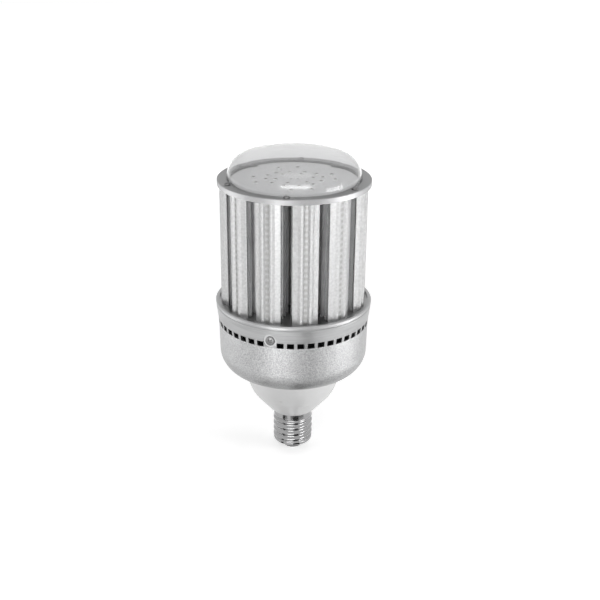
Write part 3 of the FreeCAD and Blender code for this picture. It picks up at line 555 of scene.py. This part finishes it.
class BULB_OT_thread(bpy.types.Operator):
    """Make the rolled screw shell with its helical thread"""

    bl_idname = "bulb.thread"
    bl_label = "Screw shell"

    def execute(self, context):
        """Outside radius R(a, z) = plain + w(z) (root - plain + depth (1 + cos(2 pi z / p - a)) / 2),
        with w a smooth window over the thread's height. A lip bends inwards at the bottom."""
        shape = context.scene.bulb_shape
        low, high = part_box("screw_shell")
        bottom, top = low[2], high[2]
        rows = 150
        columns = 160
        plain = 19.35 * MM
        bore = 17.2 * MM
        wall = 0.5 * MM
        lip = 15.2 * MM
        lip_edge = 0.2 * MM
        bend = 2.6 * MM
        bend_centre = 16.6 * MM
        bend_height = 2.2 * MM
        mouth_height = 1.0 * MM
        run_out = 2.5 * MM
        angle = np.linspace(0.0, 2.0 * math.pi, columns, endpoint=False)
        heights = np.linspace(bottom + bend_height, top, rows)
        window = (np.clip((heights - shape.thread_low) / run_out, 0.0, 1.0)
                  * np.clip((shape.thread_high - heights) / run_out, 0.0, 1.0))
        window = window * window * (3.0 - 2.0 * window)
        wave = 0.5 + 0.5 * np.cos(2.0 * math.pi * heights[:, None] / shape.thread_pitch - angle)
        depth = shape.thread_crest - shape.thread_root
        outside = plain + window[:, None] * (shape.thread_root - plain + depth * wave)
        below = np.array([(lip, bottom)] + arc((bend_centre, bottom + bend), bend, -90.0, -20.0, 8))
        inside = np.array([(plain - wall, top), (bore, top - mouth_height), (bore, bottom + bend),
                           (lip - wall, bottom + lip_edge)])
        radius = np.concatenate([np.repeat(below[:, :1], columns, axis=1), outside,
                                 np.repeat(inside[:, :1], columns, axis=1)])
        level = np.concatenate([below[:, 1], heights, inside[:, 1]])
        points = np.stack([radius * np.cos(angle), radius * np.sin(angle),
                           np.broadcast_to(level[:, None], radius.shape)], axis=-1)
        faces = grid_faces(len(radius), columns)
        shell = mesh_object("screw_shell_thread", points.reshape(-1, 3), faces, smooth_angle=50.0)
        seat(shell, "plated_shell", finish_of("plated_shell"), "screw_shell")
        return {"FINISHED"}


class BULB_OT_covers(bpy.types.Operator):
    """Make the clear strip covers with their two lens ridges"""

    bl_idname = "bulb.covers"
    bl_label = "Strip covers"

    def execute(self, context):
        """A section in (x, y) is carried up the panel: its upper half is mirrored in y. The faces
        take the pebbled finish, the legs beside the strip and the valley between the ridges their own."""
        shape = context.scene.bulb_shape
        low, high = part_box("strip_cover_01")
        end_band = 0.3 * MM
        # Half the section in millimetres: distance from the bulb's axis and from the panel's middle
        valley = [(66.8, 0.0), (66.8, 1.45), (66.87, 1.66), (67.05, 1.84)]
        ridge = arc((67.534, 4.3), 1.9, -52.1, 52.1, 13)
        slope = [(67.2, 7.05), (66.98, 7.25), (66.86, 7.42), (65.04, 11.46)]
        edge = [(64.87, 11.75), (64.62, 11.93), (64.3, 12.0)]
        leg = [(59.5, 12.0), (59.5, 10.7), (63.6, 10.7)]
        inside = [(64.0, 10.3), (64.0, 1.8), (64.0, 0.0)]
        # Limits of the legs' and of the valley's faces, in the section's own measures
        leg_side = 10.65
        leg_top = 64.35
        valley_side = 1.75
        upper = np.array(valley + ridge + slope + edge + leg + inside)
        lower = upper[1:-1][::-1] * np.array([1.0, -1.0])
        section = np.concatenate([upper, lower]) * MM
        heights = np.array([low[2], low[2] + end_band, high[2] - end_band, high[2]])
        count = len(section)
        points = np.concatenate([
            np.column_stack([section, np.full(count, height)]) for height in heights])
        faces = [tuple(quad) for quad in grid_faces(len(heights), count, close_rows=False)]
        top = (len(heights) - 1) * count
        faces.append(tuple(range(count))[::-1])
        faces.append(tuple(range(top, top + count)))
        middle = np.array([points[list(face)].mean(axis=0) for face in faces]) / MM
        on_leg = (np.abs(middle[:, 1]) > leg_side) & (middle[:, 0] < leg_top)
        in_valley = np.abs(middle[:, 1]) < valley_side
        in_valley[-2:] = False
        # The cover's finishes by number: 0 for the pebbled faces, 1 for the legs, 2 for the valley
        finish = (on_leg + 2 * in_valley).astype(np.int32)
        for panel in range(shape.panel_count):
            turn = 2.0 * math.pi * panel / shape.panel_count
            name = "strip_cover_%02d" % (panel + 1)
            cover = mesh_object("lens_" + name, turned_points(points, turn), faces, smooth_angle=40.0)
            seat(cover, "cover_clear", finish_of("cover_clear"), name)
            cover.data.materials.append(finish_of("cover_leg"))
            cover.data.materials.append(finish_of("cover_valley"))
            cover.data.polygons.foreach_set("material_index", finish)
        return {"FINISHED"}


def chip(width, length, height):
    """A packaged emitter on z = 0 with a bevelled frame and a sunk window: rings of four corners,
    each set in from the outline by (1 - share) width / 2 on all sides."""
    share, rise = np.array(CHIP_RINGS).T
    x = width / 2 * share
    y = length / 2 * (1.0 - (1.0 - share) * width / length)
    z = height * rise
    points = np.stack([np.stack([-x, x, x, -x], axis=-1), np.stack([-y, -y, y, y], axis=-1),
                       np.stack([z, z, z, z], axis=-1)], axis=-1)
    faces = [tuple(quad) for quad in grid_faces(len(CHIP_RINGS), 4, close_rows=False)]
    window = 4 * (len(CHIP_RINGS) - 1)
    faces.append((3, 2, 1, 0))
    faces.append((window, window + 1, window + 2, window + 3))
    return points.reshape(-1, 3), faces


def seat_chips(name, parts, node):
    """Puts emitters on the bulb as one piece. The first bands of each are its frame, in the boards'
    white, and its other faces are phosphor."""
    chips = mesh_object(name, *joined(parts))
    seat(chips, "emitter_face", finish_of("emitter_face"), node)
    chips.data.materials.append(finish_of("light_board"))
    order = np.arange(len(chips.data.polygons)) % len(parts[0][1])
    chips.data.polygons.foreach_set("material_index", (order < 4 * FRAME_BANDS).astype(np.int32))


class BULB_OT_emitters(bpy.types.Operator):
    """Make the packaged emitters on the strips and on the top board"""

    bl_idname = "bulb.emitters"
    bl_label = "Emitters"

    def execute(self, context):
        """A strip's emitters stand upright on its face, one pitch apart. The top board has two full
        circles, turned with their places, and an outer circle of pairs. An emitter of a pair stands
        pair_side degrees from the pair's middle and is turned twice as far."""
        shape = context.scene.bulb_shape
        strip_face = 62.6 * MM
        inner_circle = 17.6 * MM
        middle_circle = 26.5 * MM
        outer_circle = 38.0 * MM
        inner_count = 6
        middle_count = 12
        pair_count = 4
        pair_side = 14.0
        points, faces = chip(*STRIP_CHIP)
        upright = np.stack([strip_face + points[:, 2], points[:, 0], points[:, 1]], axis=-1)
        first = first_emitter()
        strips = []
        for panel in range(shape.panel_count):
            turn = 2.0 * math.pi * panel / shape.panel_count
            for row in range(shape.emitter_count):
                lifted = upright + np.array([0.0, 0.0, first + row * shape.emitter_pitch])
                strips.append((turned_points(lifted, turn), faces))
        seat_chips("strip_emitter_chips", strips, "strip_emitters")
        spots = []
        for circle, count in ((inner_circle, inner_count), (middle_circle, middle_count)):
            spots += [(circle, 360.0 / count * k, 360.0 / count * k) for k in range(count)]
        for pair in range(pair_count):
            middle = 360.0 / pair_count * pair
            for side in (-pair_side, pair_side):
                spots.append((outer_circle, middle + side, middle + 2.0 * side))
        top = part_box("top_emitters")[0][2]
        points, faces = chip(*BOARD_CHIP)
        board = []
        for circle, place, turn in spots:
            angle = math.radians(place)
            centre = np.array([circle * math.cos(angle), circle * math.sin(angle), top])
            board.append((turned_points(points, math.radians(turn)) + centre, faces))
        seat_chips("top_emitter_chips", board, "top_emitters")
        return {"FINISHED"}


class BULB_OT_dome(bpy.types.Operator):
    """Make the clear dome with its clamped flange"""

    bl_idname = "bulb.dome"
    bl_label = "Dome"

    def execute(self, context):
        """Two tangent arcs in millimetres: a shoulder round (middle, spring) and a flat crown on the
        axis, whose radius R solves middle^2 + (R - rise)^2 = (R - shoulder)^2."""
        low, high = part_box("top_dome")
        base = low[2] / MM
        crown = high[2] / MM
        rise = 25.8
        middle = 42.5
        shoulder = 20.0
        wall = 1.8
        flange_radius = 68.8
        flange = 1.5
        ease = 0.4
        pole = 0.02
        shoulder_steps = 28
        crown_steps = 24
        segments = 144
        outside = middle + shoulder
        spring = crown - rise
        crown_radius = (middle ** 2 + rise ** 2 - shoulder ** 2) / (2.0 * (rise - shoulder))
        centre = (0.0, crown - crown_radius)
        tilt = math.degrees(math.atan2(spring - centre[1], middle))
        last = 90.0 - math.degrees(pole / crown_radius)
        profile = [(outside - wall, base), (flange_radius, base), (flange_radius, base + flange),
                   (outside + ease, base + flange), (outside, base + flange + ease)]
        profile += arc((middle, spring), shoulder, 0.0, tilt, shoulder_steps)
        profile += arc(centre, crown_radius, tilt, last, crown_steps)[1:]
        profile += arc(centre, crown_radius - wall, last, tilt, crown_steps)
        profile += arc((middle, spring), shoulder - wall, tilt, 0.0, shoulder_steps)[1:]
        points, faces = lathe(np.array(profile) * MM, segments)
        dome = mesh_object("top_dome_clear", points, faces, smooth_angle=35.0)
        seat(dome, "dome_clear", finish_of("dome_clear"), "top_dome")
        return {"FINISHED"}


def pan_screw(head, height, shank, length, shape):
    """A screw along +Z that seats at z = 0, as rings of a profile. The crown is
    z = height (1 - fall (r / head)^3) less a cross, which is full depth within half the cross
    width of either axis, nothing beyond the whole width, and fades out at cross_reach."""
    segments = 64
    crown_rings = 18
    first_ring = 0.06
    fall = 0.55
    pole = 0.01 * MM
    cross_reach = 0.62 * head
    cross_fade = 0.25 * head
    crown = np.concatenate([[pole], np.linspace(first_ring, 1.0, crown_rings) * head])
    lower = np.array([(head, 0.0), (shank, 0.0), (shank, -length), (pole, -length)])
    radius = np.concatenate([crown, lower[:, 0]])
    level = np.concatenate([height * (1.0 - fall * (crown / head) ** 3), lower[:, 1]])
    angle = np.linspace(0.0, 2.0 * math.pi, segments, endpoint=False)
    x = radius[:, None] * np.cos(angle)
    y = radius[:, None] * np.sin(angle)
    z = np.repeat(level[:, None], segments, axis=1)
    along = np.clip((cross_reach - np.maximum(abs(x), abs(y))) / cross_fade, 0.0, 1.0)
    across = np.clip((shape.cross_width - np.minimum(abs(x), abs(y))) / (0.5 * shape.cross_width), 0.0, 1.0)
    z[:len(crown)] -= shape.cross_depth * (along * across)[:len(crown)]
    points = np.stack([x, y, z], axis=-1).reshape(-1, 3)
    return points, grid_faces(len(radius), segments)[:, ::-1]


class BULB_OT_screws(bpy.types.Operator):
    """Make the pan-head screws of the clamp ring and of the collar, with cross recesses"""

    bl_idname = "bulb.screws"
    bl_label = "Screws"

    def execute(self, context):
        """Each head is turned by its own angle, in radians, so that no two crosses lie alike."""
        shape = context.scene.bulb_shape
        self.ring_screws(shape)
        self.collar_screws(shape)
        return {"FINISHED"}

    def ring_screws(self, shape):
        """Upright screws on a circle of the clamp ring."""
        count = 6
        circle = 66.0 * MM
        start = 15.0
        twist = 0.7
        head_radius = 3.0 * MM
        head_height = 1.8 * MM
        shank_radius = 1.6 * MM
        low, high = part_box("ring_screws")
        under_head = high[2] - head_height
        points, faces = pan_screw(head_radius, head_height, shank_radius, under_head - low[2], shape)
        parts = []
        for index in range(count):
            turn = math.radians(start + 360.0 / count * index)
            place = np.array([circle * math.cos(turn), circle * math.sin(turn), under_head])
            parts.append((turned_points(points, turn + twist * index) + place, faces))
        heads = mesh_object("ring_screw_heads", *joined(parts))
        seat(heads, "screw_steel", finish_of("screw_steel"), "ring_screws")

    def collar_screws(self, shape):
        """Radial screws round the collar, with their heads in its dimples."""
        count = 3
        seat_radius = 72.1 * MM
        start = 3.75
        first_twist = 0.5
        twist = 0.9
        head_radius = 4.4 * MM
        head_height = 1.7 * MM
        shank_radius = 2.0 * MM
        length = 6.1 * MM
        low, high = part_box("collar_screws")
        level = (low[2] + high[2]) / 2
        points, faces = pan_screw(head_radius, head_height, shank_radius, length, shape)
        parts = []
        for index in range(count):
            spun = turned_points(points, first_twist + twist * index)
            radial = np.stack([spun[:, 2] + seat_radius, spun[:, 0], spun[:, 1] + level], axis=-1)
            turn = math.radians(start + 360.0 / count * index)
            parts.append((turned_points(radial, turn), faces))
        heads = mesh_object("collar_screw_heads", *joined(parts))
        seat(heads, "screw_steel", finish_of("screw_steel"), "collar_screws")


# A lamp stands at a turn from the camera in degrees, positive to the right, in metres and watts.
# Its last word says which pieces it lights.
Lamp = namedtuple("Lamp", "name turn reach height size power lights")
LAMPS = (
    Lamp("Key", 76.0, 0.90, 0.13, (0.48, 0.30), 7.0, "rest"),
    Lamp("Fill", -20.0, 0.95, 0.13, (0.26, 0.28), 4.4, "rest"),
    Lamp("Strip", 13.0, 0.95, 0.13, (0.26, 0.24), 2.0, "covers"),
    Lamp("Rim", -95.0, 1.0, 0.13, (0.60, 0.30), 4.2, "rest"),
    Lamp("Front gloss", 2.0, 0.95, 0.70, (0.90, 0.30), 10.0, "dome"),
    Lamp("Right gloss", 68.0, 0.90, 0.22, (0.48, 0.30), 4.4, "dome"),
    Lamp("Front shell", -12.0, 0.95, 0.13, (0.66, 0.28), 4.2, "shell"),
    Lamp("Right shell", 53.0, 0.90, 0.13, (0.40, 0.30), 2.8, "shell"),
    Lamp("Top", 20.0, 0.1, 1.20, (0.50, 0.50), 1.6, "all"),
)

# A flag is a dark sector of the floor that only reflections show: degrees from the camera, metres.
Flag = namedtuple("Flag", "start end inner outer")
FLAGS = (
    Flag(2.0, 33.0, 0.021, 0.090),
    Flag(-56.0, -43.0, 0.021, 0.090),
    Flag(-56.0, -30.0, 0.090, 0.118),
    Flag(-12.0, 62.0, 0.090, 0.118),
    Flag(13.0, 27.0, 0.200, 0.370),
)


def sector(flag, camera_turn):
    """A flag just above the floor: (r sin a, -r cos a) with a from its start to its end and r from
    its inner to its outer radius."""
    count = 12
    lift = 0.5 * MM
    angle = np.linspace(camera_turn + math.radians(flag.start), camera_turn + math.radians(flag.end), count)
    radius = np.array([flag.inner, flag.outer])[:, None]
    points = np.stack([radius * np.sin(angle), -radius * np.cos(angle),
                       np.full((2, count), lift)], axis=-1)
    faces = grid_faces(2, count, close_rows=False, close_columns=False)[:, ::-1]
    return points.reshape(-1, 3), faces


def receives(name, lights):
    """Whether a lamp for the covers, for the dome, for the shell or for the rest lights a piece."""
    own = {"covers": "lens_", "dome": "top_dome", "shell": "screw_shell"}
    if lights in own:
        return name.startswith(own[lights])
    return not name.startswith(tuple(own.values()))


def seen_amount(tree, hidden, seen):
    """A value that is seen for camera, glossy and transmitted rays and hidden for all others."""
    path = tree.nodes.new("ShaderNodeLightPath")
    amount = tree.nodes.new("ShaderNodeMapRange")
    amount.inputs["To Min"].default_value = hidden
    amount.inputs["To Max"].default_value = seen
    last = path.outputs["Is Camera Ray"]
    for kind in ("Is Glossy Ray", "Is Transmission Ray"):
        either = tree.nodes.new("ShaderNodeMath")
        either.operation = "MAXIMUM"
        tree.links.new(last, either.inputs[0])
        tree.links.new(path.outputs[kind], either.inputs[1])
        last = either.outputs["Value"]
    tree.links.new(last, amount.inputs["Value"])
    return amount


def lift_by_distance(tree, near, far):
    """A grey that runs smoothly from near to far between two distances from the bulb's axis."""
    near_distance = 0.3
    far_distance = 1.2
    place = tree.nodes.new("ShaderNodeTexCoord")
    length = tree.nodes.new("ShaderNodeVectorMath")
    length.operation = "LENGTH"
    ramp = tree.nodes.new("ShaderNodeMapRange")
    ramp.interpolation_type = "SMOOTHSTEP"
    ramp.inputs["From Min"].default_value = near_distance
    ramp.inputs["From Max"].default_value = far_distance
    ramp.inputs["To Min"].default_value = near
    ramp.inputs["To Max"].default_value = far
    tree.links.new(place.outputs["Object"], length.inputs[0])
    tree.links.new(length.outputs["Value"], ramp.inputs["Value"])
    return ramp


def add_floor(stage, grain):
    """A pale floor, lifted to white where it is seen, that still takes the bulb's shadow."""
    half = 4.0
    floor = mesh_object(
        "floor", [(-half, -half, 0.0), (half, -half, 0.0), (half, half, 0.0), (-half, half, 0.0)],
        [(0, 1, 2, 3)])
    pale = textured("Pale floor", grain, tint=(0.86, 0.86, 0.86), spread=0.01, rough=(0.7, 0.8),
                    metallic=0.0, scale=40.0, strength=0.01)
    ramp = lift_by_distance(pale.node_tree, stage.floor_near, stage.floor_far)
    lift = seen_amount(pale.node_tree, 0.0, 1.0)
    links = pale.node_tree.links
    links.new(ramp.outputs["Result"], shader_inputs(pale)["Emission Color"])
    links.new(lift.outputs["Result"], shader_inputs(pale)["Emission Strength"])
    floor.data.materials.append(pale)


def add_flags(stage, grain):
    """The dark sectors, hidden from everything but reflections."""
    flags = mesh_object("shade_flags", *joined([sector(flag, stage.azimuth) for flag in FLAGS]))
    card = textured("Black card", grain, tint=(0.02, 0.02, 0.02), spread=0.2, rough=(0.9, 1.0),
                    metallic=0.0, scale=60.0, strength=0.05)
    flags.data.materials.append(card)
    flags.visible_camera = False
    flags.visible_diffuse = False
    flags.visible_transmission = False
    flags.visible_shadow = False


def add_surround(scene, stage):
    """A surround that looks white and lights the bulb only a little."""
    world = bpy.data.worlds.new("Studio surround")
    scene.world = world
    world.use_nodes = True
    shade = world.node_tree.nodes["Background"]
    shade.inputs["Color"].default_value = (1.0, 1.0, 1.0, 1.0)
    amount = seen_amount(world.node_tree, stage.surround, 1.0)
    world.node_tree.links.new(amount.outputs["Result"], shade.inputs["Strength"])


def add_lamp(scene, stage, lamp, aim):
    """A soft lamp that points at the aim, unseen by the camera, for the pieces that it lights."""
    angle = stage.azimuth + math.radians(lamp.turn)
    spot = Vector((lamp.reach * math.sin(angle), -lamp.reach * math.cos(angle), lamp.height))
    data = bpy.data.lights.new(lamp.name, "AREA")
    data.shape = "RECTANGLE"
    data.size, data.size_y = lamp.size
    data.energy = lamp.power
    light = bpy.data.objects.new(lamp.name, data)
    light.location = spot
    light.rotation_euler = (aim - spot).to_track_quat("-Z", "Y").to_euler()
    light.visible_camera = False
    light.visible_transmission = False
    scene.collection.objects.link(light)
    if lamp.lights == "all":
        return
    lit = bpy.data.collections.new(lamp.name + " receivers")
    for item in scene.objects:
        if item.type == "MESH" and receives(item.name, lamp.lights):
            lit.objects.link(item)
    light.light_linking.receiver_collection = lit


def add_camera(scene, stage, aim):
    """A camera at its azimuth, elevation and distance from the aim, rolled about its own view."""
    data = bpy.data.cameras.new("Camera")
    data.lens = stage.lens
    data.sensor_width = 36.0
    data.shift_x, data.shift_y = stage.shift
    data.clip_start = 0.01
    camera = bpy.data.objects.new("Camera", data)
    flat = math.cos(stage.elevation)
    away = Vector((math.sin(stage.azimuth) * flat, -math.cos(stage.azimuth) * flat,
                   math.sin(stage.elevation)))
    camera.location = aim + away * stage.distance
    level = (-away).to_track_quat("-Z", "Y")
    camera.rotation_euler = (level @ Quaternion((0.0, 0.0, 1.0), stage.roll)).to_euler()
    scene.collection.objects.link(camera)
    scene.camera = camera


class BULB_OT_stage(bpy.types.Operator):
    """Set up the pale floor, dark flags, white surround, soft lamps and camera"""

    bl_idname = "bulb.stage"
    bl_label = "Studio"

    def execute(self, context):
        scene = context.scene
        stage = scene.bulb_stage
        grain = bpy.data.node_groups["Blasted grain"]
        aim = Vector((0.0, 0.0, stage.aim_height))
        add_floor(stage, grain)
        add_flags(stage, grain)
        add_surround(scene, stage)
        for lamp in LAMPS:
            add_lamp(scene, stage, lamp, aim)
        add_camera(scene, stage, aim)
        scene.view_settings.view_transform = "Standard"
        return {"FINISHED"}


class BULB_PT_panel(bpy.types.Panel):
    """The bulb's operators and sizes"""

    bl_label = "Corn LED bulb"
    bl_idname = "BULB_PT_panel"
    bl_space_type = "VIEW_3D"
    bl_region_type = "UI"
    bl_category = "Bulb"

    def draw(self, context):
        for operator in OPERATORS:
            self.layout.operator(operator.bl_idname)
        for group in (context.scene.bulb_shape, context.scene.bulb_look, context.scene.bulb_stage):
            for key in group.__annotations__:
                self.layout.prop(group, key)


OPERATORS = (BULB_OT_finishes, BULB_OT_thread, BULB_OT_covers, BULB_OT_emitters, BULB_OT_dome,
             BULB_OT_screws, BULB_OT_stage)
CLASSES = (BulbShape, BulbLook, BulbStage) + OPERATORS + (BULB_PT_panel,)


def register():
    """Adds the classes and the scene's settings."""
    for item in CLASSES:
        bpy.utils.register_class(item)
    bpy.types.Scene.bulb_shape = PointerProperty(type=BulbShape)
    bpy.types.Scene.bulb_look = PointerProperty(type=BulbLook)
    bpy.types.Scene.bulb_stage = PointerProperty(type=BulbStage)


def unregister():
    """Takes the classes and settings out again."""
    del bpy.types.Scene.bulb_stage
    del bpy.types.Scene.bulb_look
    del bpy.types.Scene.bulb_shape
    for item in reversed(CLASSES):
        bpy.utils.unregister_class(item)


def main():
    """Runs the operators in order."""
    register()
    bpy.ops.bulb.finishes()
    bpy.ops.bulb.thread()
    bpy.ops.bulb.covers()
    bpy.ops.bulb.emitters()
    bpy.ops.bulb.dome()
    bpy.ops.bulb.screws()
    bpy.ops.bulb.stage()


if __name__ == "__main__":
    main()
